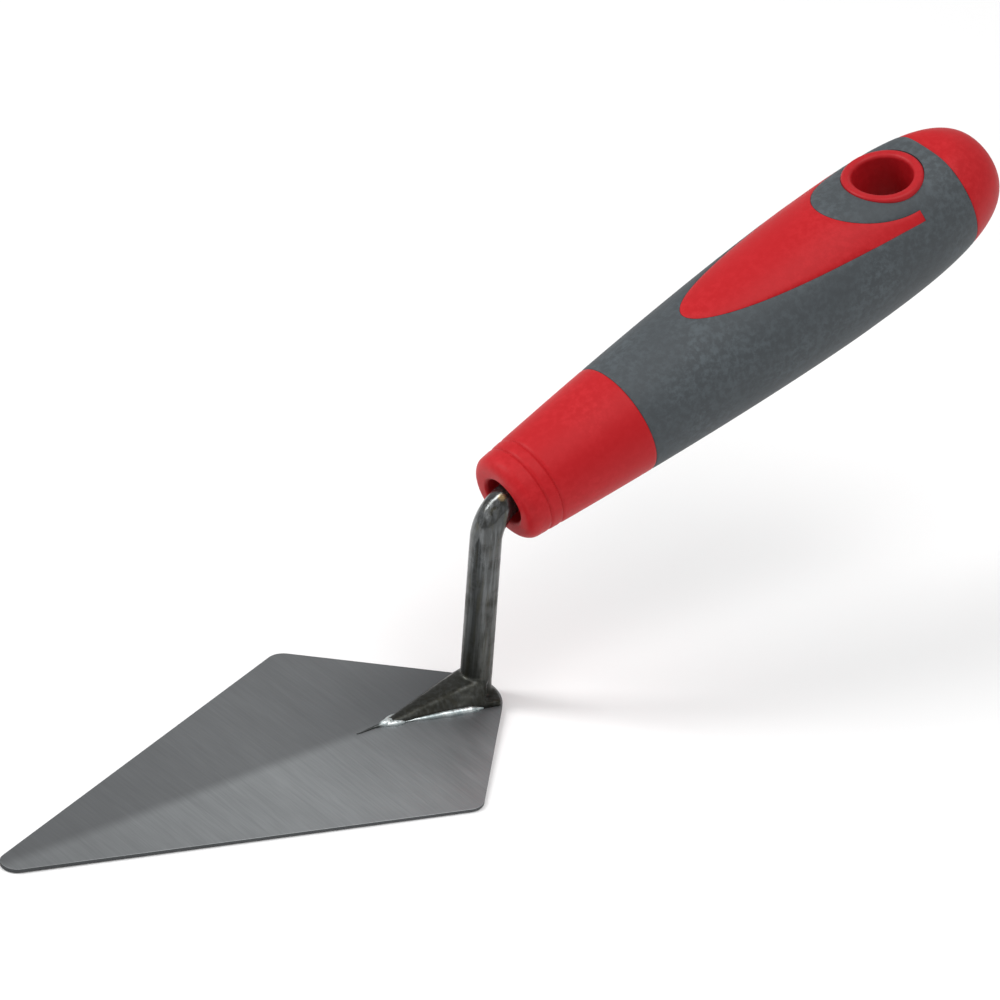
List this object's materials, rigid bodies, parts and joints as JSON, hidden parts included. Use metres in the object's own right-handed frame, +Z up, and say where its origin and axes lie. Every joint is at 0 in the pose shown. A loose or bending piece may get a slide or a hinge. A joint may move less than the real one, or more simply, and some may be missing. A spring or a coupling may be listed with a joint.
{
  "type": "pointing trowel",
  "caption": "Small pointed trowel with a flat kite-shaped steel blade, a cranked steel tang and a soft-grip handle with a hanging hole.",
  "frame": {"origin": "on the flat underside of the blade, straight below the centre of the foot of the neck", "axes": "+X from the heel towards the tip of the blade, +Y towards the left shoulder, +Z up from the blade to the handle"},
  "size_m": [0.2725, 0.0732, 0.1098],
  "materials": {
    "blade_steel": "fine cross-ground, satin",
    "tang_steel": "dark drawn bar, lightly scaled and oiled",
    "weld_metal": "bright, as welded and brushed",
    "hard_plastic": "moulded, satin",
    "soft_grip": "moulded, fine matte texture"
  },
  "bodies": {
    "root": {"blade": "blade_steel", "tang": "tang_steel", "weld_left": "weld_metal", "weld_right": "weld_metal", "weld_toe": "weld_metal", "handle_core": "hard_plastic", "grip_sleeve": "soft_grip"}
  },
  "joints": []
}
